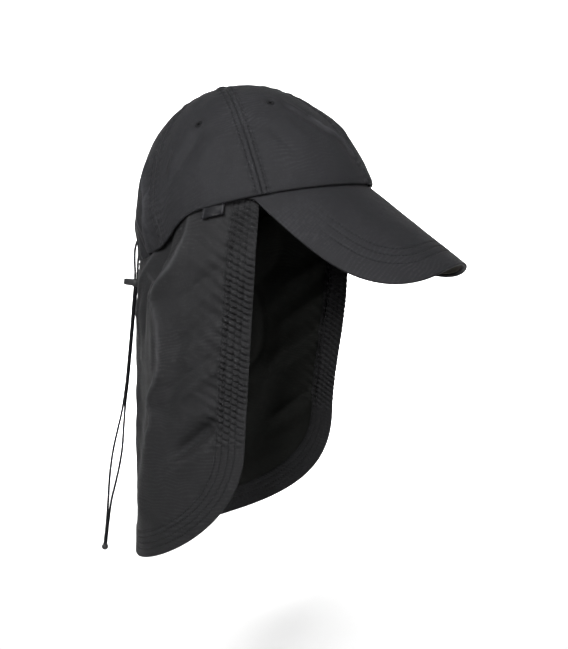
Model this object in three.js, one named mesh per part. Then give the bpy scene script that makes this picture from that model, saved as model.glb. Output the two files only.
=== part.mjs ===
// Hiking cap with a long neck flap and a drawcord at the back, in black and charcoal cloth.
// Millimetres. +Z is up, the peak points along -Y and the wearer's left is +X. The origin is the
// centre of the crown's opening, where a head carries the cap. The crown leans back by its tilt and
// the flap hangs straight down.
import * as THREE from 'three';

// Cloth and fits
const clearance = 0.3;
const tuckClearance = 0.8;
const clothThickness = 1.2;

// Crown: six panels on an oval rim, with a doubled hem at the lower edge
const rimHalfWidth = 83;
const rimHalfLength = 100;
const rimLift = 4.9;
const crownHeight = 104.5;
const crownFullness = 1.82;
const crownSetBack = 3.1;
const crownTilt = THREE.MathUtils.degToRad(14.1);
const panelCount = 6;
const seamDip = 1.3;
const crownHemHeight = 11;
const backDrop = 15;
const backPull = 7;
const backPullHeight = 26;
const dropEnd = THREE.MathUtils.degToRad(88);
const gatherDepth = 3;
const gatherHeight = 48;
const gatherPitch = THREE.MathUtils.degToRad(24);
const gatherReach = THREE.MathUtils.degToRad(62);
const buttonRadius = 5.6;
const buttonHeight = 3;
const buttonHoleRadius = 2.6;

// Peak: an arched plate of two layers, sewn in under the front of the crown
const peakLength = 96;
const peakHalfWidth = 75.3;
const peakRoot = -37;
const peakCorner = 4.58;
const peakArchRadius = 83.2;
const peakSlope = THREE.MathUtils.degToRad(38.8);
const peakReach = THREE.MathUtils.degToRad(70);
const peakTuck = 7;
const bendShare = 0.16;

// Neck flap: hangs from the rim onto a wider oval, open at the front, its lower corners rounded
const flapHalfWidth = 90.8;
const flapHalfLength = 101.5;
const flapDrop = 281;
const flapFall = 46;
const flapTuck = 8;
const flapFront = THREE.MathUtils.degToRad(63.2);
const flapFrontLean = THREE.MathUtils.degToRad(0.039);
const cornerStart = 171;
const cornerEnd = THREE.MathUtils.degToRad(161);
const hemWidth = 22;
const puckerPitch = 4.6;
const puckerDepth = 1.5;
const foldDepth = 8;
const foldBreadth = 16;

// Side label, a bare folded tape
const labelWidth = 16;
const labelLength = 10;
const labelThickness = 1.4;
const labelPlace = THREE.MathUtils.degToRad(84.5);

// Drawcord: two elastic strands through a stopper, closed by an end bead
const cordDiameter = 2.2;
const stopperLength = 16;
const stopperWidth = 8.4;
const stopperHeight = 5.5;
const beadRadius = 2.9;
const beadNeck = 1.6;

// The folds of the flap. Each runs from its upper to its lower end, both given as around, the share
// of the way from a front edge to the centre back, and down, the share of the drop. Its depth and
// breadth are shares of foldDepth and foldBreadth, and a negative depth is a valley.
const flapFolds = [
  { side: 'both', around: 0.80, down: 0.10, toAround: 0.88, toDown: 0.97, depth: 0.25, breadth: 0.80 },
  { side: 'both', around: 0.60, down: 0.12, toAround: 0.72, toDown: 0.62, depth: -0.55, breadth: 1.00 },
  { side: 'right', around: 0.27, down: 0.02, toAround: 0.42, toDown: 0.23, depth: 0.50, breadth: 0.55 },
  { side: 'right', around: 0.42, down: 0.17, toAround: 0.43, toDown: 0.52, depth: 0.60, breadth: 0.70 },
  { side: 'right', around: 0.46, down: 0.46, toAround: 0.60, toDown: 0.90, depth: 0.40, breadth: 0.90 },
  { side: 'right', around: 0.12, down: 0.16, toAround: 0.34, toDown: 0.31, depth: -0.40, breadth: 0.80 },
  { side: 'right', around: 0.08, down: 0.31, toAround: 0.33, toDown: 0.46, depth: 0.40, breadth: 0.80 },
  { side: 'right', around: 0.17, down: 0.53, toAround: 0.34, toDown: 0.66, depth: -0.60, breadth: 0.80 },
  { side: 'left', around: 0.28, down: 0.03, toAround: 0.45, toDown: 0.30, depth: 0.50, breadth: 0.70 },
  { side: 'left', around: 0.18, down: 0.28, toAround: 0.40, toDown: 0.52, depth: -0.50, breadth: 0.90 },
  { side: 'left', around: 0.30, down: 0.48, toAround: 0.55, toDown: 0.85, depth: 0.55, breadth: 1.00 },
];

// The route of the drawcord behind the crown: back and up from the origin, with each strand's
// distance to the side and its own distance further back where the two strands part. One row is marked
// as the stopper's place.
const cordRoute = [
  { back: 95.9, up: -16.3, side: 5.0, apart: 0 },
  { back: 100.0, up: -16.3, side: 5.0, apart: 0 },
  { back: 104.2, up: -17.6, side: 4.8, apart: 0 },
  { back: 108.4, up: -21.0, side: 4.4, apart: 0 },
  { back: 111.3, up: -27.5, side: 3.7, apart: 0 },
  { back: 112.6, up: -37.0, side: 2.7, apart: 0 },
  { back: 112.8, up: -47.0, side: 2.0, apart: 0 },
  { back: 113.4, up: -57.0, side: 1.9, apart: 0, stopper: true },
  { back: 115.2, up: -72.0, side: 1.7, apart: 0 },
  { back: 118.2, up: -98.0, side: 1.4, apart: 0 },
  { back: 121.0, up: -121.0, side: 1.4, apart: 0 },
  { back: 123.8, up: -143.0, side: 1.4, apart: 0 },
  { back: 128.0, up: -168.0, side: 1.5, apart: 0.4 },
  { back: 131.4, up: -186.0, side: 1.8, apart: 1.8 },
  { back: 134.6, up: -203.0, side: 2.0, apart: 3.2 },
  { back: 138.0, up: -220.0, side: 2.0, apart: 3.2 },
  { back: 141.0, up: -235.0, side: 1.9, apart: 2.2 },
  { back: 144.2, up: -252.0, side: 1.6, apart: 0.6 },
  { back: 147.0, up: -272.0, side: 1.4, apart: 0 },
  { back: 149.8, up: -292.0, side: 1.3, apart: 0 },
];
const stopperRow = cordRoute.findIndex((place) => place.stopper);

const shell = { color: 0x26272a, roughness: 0.78, metalness: 0 };
const crownCloth = new THREE.MeshStandardMaterial({ ...shell, name: 'crown_cloth' });
const peakCloth = new THREE.MeshStandardMaterial({ ...shell, name: 'peak_cloth' });
const lining = new THREE.MeshStandardMaterial({ color: 0x2a2620, roughness: 0.85, name: 'peak_lining' });
const flapCloth = new THREE.MeshStandardMaterial({ ...shell, name: 'flap_cloth' });
const tape = new THREE.MeshStandardMaterial({ color: 0x131315, roughness: 0.5, name: 'label_tape' });
const elastic = new THREE.MeshStandardMaterial({ color: 0x141416, roughness: 0.8, name: 'cord_elastic' });
const plastic = new THREE.MeshStandardMaterial({ color: 0x18181a, roughness: 0.4, name: 'cord_plastic' });

const cap = new THREE.Group();

function add(name, geometry, material) {
  const mesh = new THREE.Mesh(geometry, material);
  mesh.name = name;
  cap.add(mesh);
  return mesh;
}

const { lerp, smoothstep, clamp } = THREE.MathUtils;
const spread = (count, from, to) => Array.from({ length: count + 1 }, (_, k) => lerp(from, to, k / count));

function tilted(point) {
  return point.applyAxisAngle(new THREE.Vector3(1, 0, 0), -crownTilt);
}

// A grid of points: one column for each value across, one row for each value along it
function gridOf(across, along, pointAt) {
  return across.map((a) => along.map((b) => pointAt(a, b)));
}

// A closed body between two facing grids of the same size, turned so that its faces point outwards
function bodyBetween(front, back) {
  const columns = front.length;
  const rows = front[0].length;
  const points = [...front.flat(), ...back.flat()];
  const at = (layer, i, j) => (layer * columns + i) * rows + j;
  const faces = [];
  const quad = (a, b, c, d) => faces.push([a, b, c], [a, c, d]);
  for (let i = 0; i + 1 < columns; i += 1) {
    for (let j = 0; j + 1 < rows; j += 1) {
      quad(at(0, i, j), at(0, i + 1, j), at(0, i + 1, j + 1), at(0, i, j + 1));
      quad(at(1, i, j), at(1, i, j + 1), at(1, i + 1, j + 1), at(1, i + 1, j));
    }
    quad(at(0, i, 0), at(1, i, 0), at(1, i + 1, 0), at(0, i + 1, 0));
    quad(at(0, i, rows - 1), at(0, i + 1, rows - 1), at(1, i + 1, rows - 1), at(1, i, rows - 1));
  }
  for (let j = 0; j + 1 < rows; j += 1) {
    quad(at(0, 0, j), at(0, 0, j + 1), at(1, 0, j + 1), at(1, 0, j));
    quad(at(0, columns - 1, j), at(1, columns - 1, j), at(1, columns - 1, j + 1), at(0, columns - 1, j + 1));
  }
  const sixVolumes = faces.reduce((sum, [a, b, c]) => (
    sum + points[a].dot(points[b].clone().cross(points[c]))), 0);
  const outward = sixVolumes > 0 ? faces : faces.map(([a, b, c]) => [a, c, b]);
  const geometry = new THREE.BufferGeometry().setFromPoints(points);
  geometry.setIndex(outward.flat());
  geometry.computeVertexNormals();
  return geometry;
}

// Crown. A turn goes round from the front centre by the wearer's right side, a rise from 0 at the rim
// to a quarter turn at the top, and an inset reaches inwards from the outer face. Towards the back the
// rim reaches lower, and the drawcord pulls it in.
function crownPoint(turn, rise, inset) {
  const height = Math.sin(rise) ** (2 / crownFullness);
  const fromBack = Math.abs(turn - Math.PI);
  const drop = backDrop * (1 - smoothstep(fromBack, dropEnd * 0.62, dropEnd)) * (1 - height) ** 2;
  const pull = backPull * (1 - smoothstep(fromBack, dropEnd / 2, dropEnd));
  const reach = Math.cos(rise);
  const pulled = inset + pull * (1 - smoothstep(height * crownHeight, 0, backPullHeight));
  return tilted(new THREE.Vector3(
    -(rimHalfWidth - pulled) * reach * Math.sin(turn),
    -(rimHalfLength - pulled) * reach * Math.cos(turn) + crownSetBack * height,
    (crownHeight - inset) * height + rimLift * Math.sin(turn) ** 2 * (1 - height) - drop,
  ));
}

function riseAt(height) {
  return Math.asin(clamp(height / crownHeight, 0, 1) ** (crownFullness / 2));
}

// Above the drawcord the cloth stands out in soft upright pleats, with a ridge at the centre back
function crownGather(turn, rise) {
  const fromBack = Math.abs(turn - Math.PI);
  const height = crownHeight * Math.sin(rise) ** (2 / crownFullness);
  const pleat = 0.5 + 0.5 * Math.cos(2 * Math.PI * fromBack / gatherPitch);
  return gatherDepth * pleat * (1 - smoothstep(fromBack, gatherReach / 2, gatherReach))
    * (1 - smoothstep(height, 0, gatherHeight));
}

const crownRows = [0, riseAt(crownHemHeight), riseAt(crownHemHeight + clothThickness)];
crownRows.push(...spread(8, crownRows[2], Math.acos(buttonHoleRadius / rimHalfWidth)).slice(1));

function crownPanel(number) {
  const seam = 2 * Math.PI / panelCount;
  const wallPoint = (share, rise, inset) => {
    const halfGap = clearance / 2 / ((rimHalfWidth - 2 * clothThickness) * Math.cos(rise));
    const turn = lerp(number * seam + halfGap, (number + 1) * seam - halfGap, share);
    const dip = seamDip * (1 - Math.sin(Math.PI * share)) ** 2 * Math.sqrt(Math.abs(Math.sin(2 * rise)));
    return crownPoint(turn, rise, inset + dip - crownGather(turn, rise));
  };
  const layers = (rise) => (rise < crownRows[2] ? 2 : 1);
  const across = spread(10, 0, 1);
  return bodyBetween(
    gridOf(across, crownRows, (share, rise) => wallPoint(share, rise, 0)),
    gridOf(across, crownRows, (share, rise) => wallPoint(share, rise, layers(rise) * clothThickness)),
  );
}

const panelNames = ['front_right', 'side_right', 'back_right', 'back_left', 'side_left', 'front_left'];
for (let number = 0; number < panelCount; number += 1) {
  add(`crown_panel_${panelNames[number]}`, crownPanel(number), crownCloth);
}

// Top button: a cloth-covered dome on the point where the panels meet
function topButton() {
  const dome = spread(5, 0, Math.PI / 2).map((a) => (
    new THREE.Vector2(buttonRadius * Math.sin(a), buttonHeight * Math.cos(a))));
  const profile = [new THREE.Vector2(0, 0), ...dome.reverse()];
  return new THREE.LatheGeometry(profile, 16);
}

const button = add('top_button', topButton(), crownCloth);
button.rotation.x = Math.PI / 2 - crownTilt;
button.position.copy(crownPoint(0, Math.PI / 2, -clearance));

// Peak. Its own axes start at the front of the rim: x across, out along the slope and up from it.
const hemInset = 2 * clothThickness + tuckClearance;
const peakStack = 2 * clothThickness + clearance;
const peakOrigin = crownPoint(0, 0, 0);
const peakOut = new THREE.Vector3(0, -Math.cos(peakSlope), -Math.sin(peakSlope));
const peakUp = new THREE.Vector3(0, -Math.sin(peakSlope), Math.cos(peakSlope));

const archDrop = (x) => peakArchRadius - Math.sqrt(peakArchRadius ** 2 - x ** 2);

// The peak's outline as a superellipse, in polar form so that its points are evenly spaced
function peakOutline(angle) {
  const across = Math.abs(Math.sin(angle)) / peakHalfWidth;
  const out = Math.abs(Math.cos(angle)) / (peakLength - peakRoot);
  const radius = (across ** peakCorner + out ** peakCorner) ** (-1 / peakCorner);
  return { x: radius * Math.sin(angle), out: peakRoot + radius * Math.cos(angle) };
}

// A point of the peak. The share runs from -1 to 1 across it, along is below 0 in the tuck and runs from
// 0 to 1 on the plate, and the depth lies under the upper face, square to the wall and then to the arch.
function peakPoint(share, along, depth) {
  const turn = -share * peakReach;
  const wallNormal = crownPoint(turn, 0, 0).sub(crownPoint(turn, 0, 1)).normalize();
  if (along < 0) {
    return crownPoint(turn, riseAt(-along * peakTuck), hemInset).addScaledVector(wallNormal, -depth);
  }
  const lowered = tilted(new THREE.Vector3(0, 0, -tuckClearance));
  const local = crownPoint(turn, 0, hemInset).add(lowered).sub(peakOrigin);
  const edge = peakOutline(share * Math.PI / 2);
  const x = lerp(local.x, edge.x, along);
  const out = lerp(local.dot(peakOut), edge.out, along);
  const lifted = (local.dot(peakUp) + archDrop(local.x)) * (1 - along);
  const archNormal = peakUp.clone().multiplyScalar(peakArchRadius - archDrop(x)).setX(x).normalize();
  const normal = wallNormal.lerp(archNormal, Math.min(along / bendShare, 1)).normalize();
  return peakOrigin.clone().setX(x).addScaledVector(peakOut, out)
    .addScaledVector(peakUp, lifted - archDrop(x)).addScaledVector(normal, -depth);
}

function peakLayer(upper, lower) {
  const across = spread(20, -1, 1);
  const along = [-1, -0.5, 0, bendShare / 2, bendShare, 0.35, 0.5, 0.65, 0.8, 0.9, 1];
  return bodyBetween(
    gridOf(across, along, (share, step) => peakPoint(share, step, upper)),
    gridOf(across, along, (share, step) => peakPoint(share, step, lower)),
  );
}

add('peak_upper', peakLayer(0, clothThickness), peakCloth);
add('peak_under', peakLayer(clothThickness + clearance, peakStack), lining);

// Neck flap. Its flat pattern is measured in millimetres: across from the centre back, positive on
// the wearer's right, and down from the origin's height.
const flapRadius = (flapHalfWidth + flapHalfLength) / 2;
const acrossAt = (turn) => (Math.PI - turn) * flapRadius;
const turnAt = (across) => Math.PI - across / flapRadius;

function flapInset(across) {
  const overlap = 1 - smoothstep(turnAt(Math.abs(across)), peakReach * 1.03, peakReach * 1.25);
  return hemInset + (peakStack + tuckClearance) * overlap;
}

function foldOffset(across, down) {
  const side = across > 0 ? 'right' : 'left';
  const halfWidth = acrossAt(flapFront);
  return flapFolds.reduce((sum, fold) => {
    const share = (down / flapDrop - fold.down) / (fold.toDown - fold.down);
    if (share <= 0 || share >= 1 || (fold.side !== 'both' && fold.side !== side)) return sum;
    const middle = (1 - lerp(fold.around, fold.toAround, share)) * halfWidth;
    const bell = Math.exp(-(((Math.abs(across) - middle) / (fold.breadth * foldBreadth)) ** 2));
    return sum + fold.depth * foldDepth * bell * Math.sin(Math.PI * share) ** 0.7;
  }, 0);
}

const rimDown = (across) => -crownPoint(turnAt(across), 0, flapInset(across)).z;
const flapTop = (across) => rimDown(across) - flapTuck * Math.cos(crownTilt);

function flapPoint(across, down) {
  const turn = turnAt(across);
  const inset = flapInset(across);
  const rim = crownPoint(turn, 0, inset);
  const below = rim.z + down;
  if (below < 0) return crownPoint(turn, riseAt(-below / Math.cos(crownTilt)), inset);
  const outwards = new THREE.Vector3(-Math.sin(turn), -Math.cos(turn), 0);
  const ring = new THREE.Vector3(-flapHalfWidth * Math.sin(turn), -flapHalfLength * Math.cos(turn), -down);
  const flare = smoothstep(below, 0, flapFall);
  return rim.setZ(-down).lerp(ring, flare).addScaledVector(outwards, flare * foldOffset(across, down));
}

// The same point moved outwards along the cloth's normal
function flapFace(flat, distance) {
  const step = 1;
  const alongDown = flapPoint(flat.x, flat.y + step).sub(flapPoint(flat.x, flat.y - step));
  const alongAcross = flapPoint(flat.x + step, flat.y).sub(flapPoint(flat.x - step, flat.y));
  return alongDown.cross(alongAcross).setLength(distance).add(flapPoint(flat.x, flat.y));
}

// A flat point of the hem on the wearer's right. Its station runs from 0 to 1 down the front edge, to 2
// round the corner and to 3 along the bottom to the centre back.
function hemPoint(station, inwards) {
  const frontAcross = acrossAt(flapFront + flapFrontLean * cornerStart * Math.min(station, 1)) - inwards;
  const cornerAcross = acrossAt(cornerEnd);
  if (station <= 1) {
    return new THREE.Vector2(frontAcross, lerp(flapTop(frontAcross), cornerStart, station));
  }
  const angle = Math.min(station - 1, 1) * Math.PI / 2;
  return new THREE.Vector2(
    lerp(cornerAcross, frontAcross, Math.cos(angle)) * Math.min(3 - station, 1),
    lerp(cornerStart, flapDrop - inwards, Math.sin(angle)),
  );
}

// Stations of the whole hem, from one front edge to the other, with their side of the cap
const frontLength = cornerStart - flapTop(acrossAt(flapFront));
const puckerSteps = 2 * Math.round(frontLength / puckerPitch);
const cornerStations = [...spread(14, 1, 2), ...spread(3, 2, 3).slice(1)];
const halfStations = [...spread(puckerSteps, 0, 1), ...cornerStations.slice(1)];

function bothSides(stations) {
  const right = stations.map((station) => ({ station, side: 1 }));
  const left = stations.slice(0, -1).reverse().map((station) => ({ station, side: -1 }));
  return [...right, ...left];
}

const mirrored = (flat, side) => flat.clone().setX(flat.x * side);

// The gathers of the hem are even ripples, deepest at the edge, that die out where the corner starts
function puckerOffset(station, inwards) {
  if (station >= 1) return 0;
  const below = station * frontLength - flapTuck;
  const strength = smoothstep(below, 2, 14) * (1 - smoothstep(station, 0.78, 1));
  const ridge = Math.round(station * puckerSteps) % 2 ? 1 : -1;
  return ridge * puckerDepth / 2 * strength * (1 - (inwards / hemWidth) ** 2);
}

const hemWall = (distance) => gridOf(
  bothSides(halfStations),
  spread(2, 0, hemWidth),
  ({ station, side }, inwards) => (
    flapFace(mirrored(hemPoint(station, inwards), side), distance + puckerOffset(station, inwards))),
);
add('flap_hem', bodyBetween(hemWall(0), hemWall(-2 * clothThickness)), flapCloth);

// The flap inside its hem. Each column is a straight line of the flat pattern, from its top under the
// crown to a station of the hem, and its second row lies at the rim.
function flapBodyPoint({ station, side }, row, number, count) {
  const foot = mirrored(hemPoint(station, hemWidth + clearance), side);
  const halfWidth = hemPoint(0, hemWidth + clearance).x;
  const across = lerp(halfWidth, -halfWidth, number / count);
  const top = new THREE.Vector2(across, flapTop(across));
  const tucked = (rimDown(across) - top.y) / (foot.y - top.y);
  return top.lerp(foot, row < 0 ? 0 : lerp(tucked, 1, row ** 1.25));
}

const flapColumns = bothSides(cornerStations);
const flapRows = [-1, ...spread(16, 0, 1)];
const flapWall = (distance) => flapColumns.map((column, number) => flapRows.map((row) => (
  flapFace(flapBodyPoint(column, row, number, flapColumns.length - 1), distance))));
add('neck_flap', bodyBetween(flapWall(0), flapWall(-clothThickness)), flapCloth);

// Side label, sewn in below the crown's hem on the wearer's right and lying on the flap
function labelWall(distance) {
  const middle = acrossAt(labelPlace);
  const labelPoint = (across, length) => (
    flapFace(new THREE.Vector2(across, rimDown(across) + 2 * clearance + length), distance));
  const across = spread(4, middle - labelWidth / 2, middle + labelWidth / 2);
  return gridOf(across, spread(3, 0, labelLength), labelPoint);
}

add('side_label', bodyBetween(labelWall(clearance + labelThickness), labelWall(clearance)), tape);

// Drawcord. Each strand leaves the gathered back of the crown, passes the stopper and ends at the bead.
function strandCurve(side) {
  const points = cordRoute.map((p) => new THREE.Vector3(side * p.side, p.back - side * p.apart, p.up));
  return new THREE.CatmullRomCurve3(points, false, 'centripetal');
}

function cordStrand(side) {
  const section = new THREE.Shape(spread(8, 0, 2 * Math.PI).slice(1).map((a) => (
    new THREE.Vector2(Math.cos(a), Math.sin(a)).multiplyScalar(cordDiameter / 2))));
  const extrudePath = strandCurve(side);
  return new THREE.ExtrudeGeometry(section, { steps: 40, bevelEnabled: false, extrudePath });
}

add('cord_strand_right', cordStrand(-1), elastic);
add('cord_strand_left', cordStrand(1), elastic);

// The middle of the two strands at one point of the route, and how far the cord leans back there
function cordPlace(number) {
  const { back, up } = cordRoute[number];
  const before = cordRoute[number - 1];
  const after = cordRoute[Math.min(number + 1, cordRoute.length - 1)];
  const lean = Math.atan2(after.back - before.back, before.up - after.up);
  return { position: new THREE.Vector3(0, back, up), lean };
}

// Stopper: a round-ended bar with a bore for each strand, lying straight back from the cord
function cordStopper() {
  const outline = new THREE.Shape();
  const radius = stopperWidth / 2;
  outline.absarc(0, 0, radius, Math.PI, 2 * Math.PI);
  outline.absarc(0, stopperLength - stopperWidth, radius, 0, Math.PI);
  outline.closePath();
  for (const side of [-1, 1]) {
    const bore = new THREE.Path();
    bore.absarc(side * cordRoute[stopperRow].side, 0, cordDiameter / 2 + clearance, 0, 2 * Math.PI);
    outline.holes.push(bore);
  }
  const options = { depth: stopperHeight, bevelEnabled: false, curveSegments: 6 };
  return new THREE.ExtrudeGeometry(outline, options).translate(0, 0, -stopperHeight / 2);
}

const stopperPlace = cordPlace(stopperRow);
const stopper = add('cord_stopper', cordStopper(), plastic);
stopper.position.copy(stopperPlace.position);
stopper.rotation.x = stopperPlace.lean;

// End bead: a ball with a flat top, on which both strands end
function endBead() {
  const shoulder = Math.asin(beadNeck / beadRadius);
  const ball = spread(8, 0, Math.PI - shoulder).map((a) => (
    new THREE.Vector2(beadRadius * Math.sin(a), -beadRadius * Math.cos(a))));
  return new THREE.LatheGeometry([...ball, new THREE.Vector2(0, beadRadius * Math.cos(shoulder))], 14);
}

const cordEnd = cordPlace(cordRoute.length - 1);
const bead = add('cord_end_bead', endBead(), plastic);
bead.rotation.x = Math.PI / 2 + cordEnd.lean;
bead.position.copy(cordEnd.position).addScaledVector(
  new THREE.Vector3(0, Math.sin(cordEnd.lean), -Math.cos(cordEnd.lean)),
  clearance + Math.sqrt(beadRadius ** 2 - beadNeck ** 2),
);

export default cap;
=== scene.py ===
# A hiking cap with a long neck flap, in black and charcoal microfibre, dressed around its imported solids.
# The sections follow the cap as it is put together. Forms are worked out in millimetres, in the frame
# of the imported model, and turned into metres when a mesh is made.
import math
import bpy
import numpy as np
from mathutils import Matrix, Vector


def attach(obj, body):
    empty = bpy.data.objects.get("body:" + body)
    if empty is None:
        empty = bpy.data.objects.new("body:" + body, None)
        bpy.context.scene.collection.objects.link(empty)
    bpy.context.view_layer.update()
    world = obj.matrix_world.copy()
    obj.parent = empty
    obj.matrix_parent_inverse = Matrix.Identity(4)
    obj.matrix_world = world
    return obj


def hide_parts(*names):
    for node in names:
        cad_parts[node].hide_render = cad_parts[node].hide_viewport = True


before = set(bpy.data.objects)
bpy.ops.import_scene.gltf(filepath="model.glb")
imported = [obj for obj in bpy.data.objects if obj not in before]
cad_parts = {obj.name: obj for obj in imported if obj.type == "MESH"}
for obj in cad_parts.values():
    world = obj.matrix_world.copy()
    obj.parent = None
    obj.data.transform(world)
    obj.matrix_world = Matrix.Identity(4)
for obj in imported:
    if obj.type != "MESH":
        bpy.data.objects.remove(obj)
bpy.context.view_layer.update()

# Camera: a short telephoto at the height of the brim, to the front and right of the wearer, level but
# for a slight look down.
camera_azimuth = math.radians(-65.0)
camera_elevation = math.radians(5.3)
camera_place = Vector((-0.72797, -0.36660, -0.01310))
camera_back = Vector((
    math.sin(camera_azimuth) * math.cos(camera_elevation),
    -math.cos(camera_azimuth) * math.cos(camera_elevation),
    math.sin(camera_elevation),
))
camera_right = Vector((math.cos(camera_azimuth), math.sin(camera_azimuth), 0))
camera_data = bpy.data.cameras.new("camera")
camera_data.lens = 55.62
camera_data.sensor_width = 36
camera_data.clip_end = 50
camera = bpy.data.objects.new("camera", camera_data)
camera_turn = Matrix((camera_right, camera_back.cross(camera_right), camera_back)).transposed()
camera.matrix_world = Matrix.Translation(camera_place) @ camera_turn.to_4x4()
bpy.context.scene.collection.objects.link(camera)
bpy.context.scene.camera = camera

# Drawcord: one round elastic with a braided cover. Its two strands leave the gathered back of the
# crown, pass a stopper, part a little lower down and end together in a moulded bead.
millimetre = 0.001
cord_diameter = 2.2
# Back and up from the origin, each strand's distance to the side, and how far the two part
cord_route = np.array([
    (95.9, -16.3, 5.0, 0), (100.0, -16.3, 5.0, 0), (104.2, -17.6, 4.8, 0), (108.4, -21.0, 4.4, 0),
    (111.3, -27.5, 3.7, 0), (112.6, -37.0, 2.7, 0), (112.8, -47.0, 2.0, 0), (113.4, -57.0, 1.9, 0),
    (115.2, -72.0, 1.7, 0), (118.2, -98.0, 1.4, 0), (121.0, -121.0, 1.4, 0), (123.8, -143.0, 1.4, 0),
    (128.0, -168.0, 1.5, 0.4), (131.4, -186.0, 1.8, 1.8), (134.6, -203.0, 2.0, 3.2),
    (138.0, -220.0, 2.0, 3.2), (141.0, -235.0, 1.9, 2.2), (144.2, -252.0, 1.6, 0.6),
    (147.0, -272.0, 1.4, 0), (149.8, -292.0, 1.3, 0),
])
braid_pitch = 2.6
braid_strands = 4
braid_relief = 0.09


def unit(vectors):
    """Each vector divided by its own length."""
    return vectors / np.linalg.norm(vectors, axis=-1, keepdims=True)


def evenly_along(points, spacing):
    """A smooth line through the points, cut into even steps. Between two points it is the centripetal
    Catmull-Rom cubic, whose knots lie apart by the square root of the points' distances."""
    ends = np.concatenate([2 * points[:1] - points[1:2], points, 2 * points[-1:] - points[-2:-1]])
    before, start, stop, after = ends[:-3, None], ends[1:-2, None], ends[2:-1, None], ends[3:, None]
    knots = np.sqrt(np.linalg.norm(np.diff(ends, axis=0), axis=1))[:, None, None]
    first, middle, last = knots[:-2], knots[1:-1], knots[2:]
    leaving = ((start - before) / first - (stop - before) / (first + middle)
               + (stop - start) / middle) * middle
    arriving = ((stop - start) / middle - (after - start) / (middle + last)
                + (after - stop) / last) * middle
    share = np.linspace(0, 1, 60, endpoint=False)[None, :, None]
    fine = (start + leaving * share + (3 * (stop - start) - 2 * leaving - arriving) * share ** 2
            + (2 * (start - stop) + leaving + arriving) * share ** 3)
    line = np.concatenate([fine.reshape(-1, 3), points[-1:]])
    length = np.concatenate([[0], np.cumsum(np.linalg.norm(np.diff(line, axis=0), axis=1))])
    steps = np.linspace(0, length[-1], round(length[-1] / spacing) + 1)
    return np.stack([np.interp(steps, length, line[:, axis]) for axis in range(3)], -1), steps


def closed_form(name, rings, cloth=None, joined=False, lined=None, crest_highlight=None):
    """A closed surface from rings of points in millimetres, (ring, point, xyz) with any number of like
    forms in front. Neighbouring rings are joined by a band of quads, and the end rings are zipped
    shut across their two halves, unless the last ring is joined to the first. cloth holds a place on
    the flat cloth for each point, in millimetres, and becomes the UV map in tenths of a metre. lined
    is true for the points of a ring where the second material starts. The last argument holds how much
    painted highlight lightens the cloth at each point, from 0 to 1, and becomes an attribute."""
    forms, rows, around = (int(np.prod(rings.shape[:-3])), *rings.shape[-3:-1])
    number = np.arange(rows * around).reshape(rows, around)
    here = number if joined else number[:-1]
    there = np.roll(number, -1, 0) if joined else number[1:]
    quads = [np.stack([here, np.roll(here, -1, 1), np.roll(there, -1, 1), there], -1).reshape(-1, 4)]
    if not joined:
        j = np.arange(around // 2 - 1)
        zipped = np.stack([j + 1, j, around - 1 - j, around - 2 - j], -1)
        quads += [number[0][zipped], number[-1][zipped[:, ::-1]]]
    quads = np.concatenate(quads)
    quads = (quads[None] + np.arange(forms)[:, None, None] * rows * around).reshape(-1, 4)
    points = rings.reshape(-1, 3) * millimetre
    a, b, c, d = (points[quads[:, k]] for k in range(4))
    volume = np.sum(a * np.cross(b, c)) + np.sum(a * np.cross(c, d))
    if volume < 0:
        quads = quads[:, ::-1]
    mesh = bpy.data.meshes.new(name)
    mesh.vertices.add(len(points))
    mesh.vertices.foreach_set("co", points.ravel())
    mesh.loops.add(quads.size)
    mesh.loops.foreach_set("vertex_index", quads.ravel().astype(np.int32))
    mesh.polygons.add(len(quads))
    mesh.polygons.foreach_set("loop_start", np.arange(0, quads.size, 4, dtype=np.int32))
    mesh.polygons.foreach_set("use_smooth", np.ones(len(quads), bool))
    if lined is not None:
        second = np.asarray(lined)[quads.min(-1) % around]
        mesh.polygons.foreach_set("material_index", second.astype(np.int32))
    mesh.update(calc_edges=True)
    if cloth is not None:
        layer = mesh.uv_layers.new(name="cloth")
        flat = np.broadcast_to(cloth, (*rings.shape[:-1], 2)).reshape(-1, 2) / 100
        layer.data.foreach_set("uv", flat[quads.ravel()].ravel())
    # Painted highlight: how much the cloth's material lightens its colour at each point.
    if crest_highlight is not None:
        painted_highlight = mesh.attributes.new("crest_highlight", "FLOAT", "POINT")
        painted_highlight.data.foreach_set("value", np.asarray(crest_highlight, np.float32).ravel())
    piece = bpy.data.objects.new(name, mesh)
    bpy.context.scene.collection.objects.link(piece)
    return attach(piece, "root")


def tube(line, radius, around, twist=0.0):
    """Rings of points round a line that runs near the middle plane of the cap. Each ring's first
    direction is the X axis made square to the line, and the radius may differ from point to point."""
    ahead = unit(np.gradient(line, axis=0))
    side = unit(np.array([1.0, 0, 0]) - ahead[:, :1] * ahead)
    other = np.cross(ahead, side)
    angle = np.linspace(0, 2 * np.pi, around, endpoint=False)[None, :] + twist
    return line[:, None] + radius[..., None] * (
        side[:, None] * np.cos(angle)[..., None] + other[:, None] * np.sin(angle)[..., None])


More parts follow.
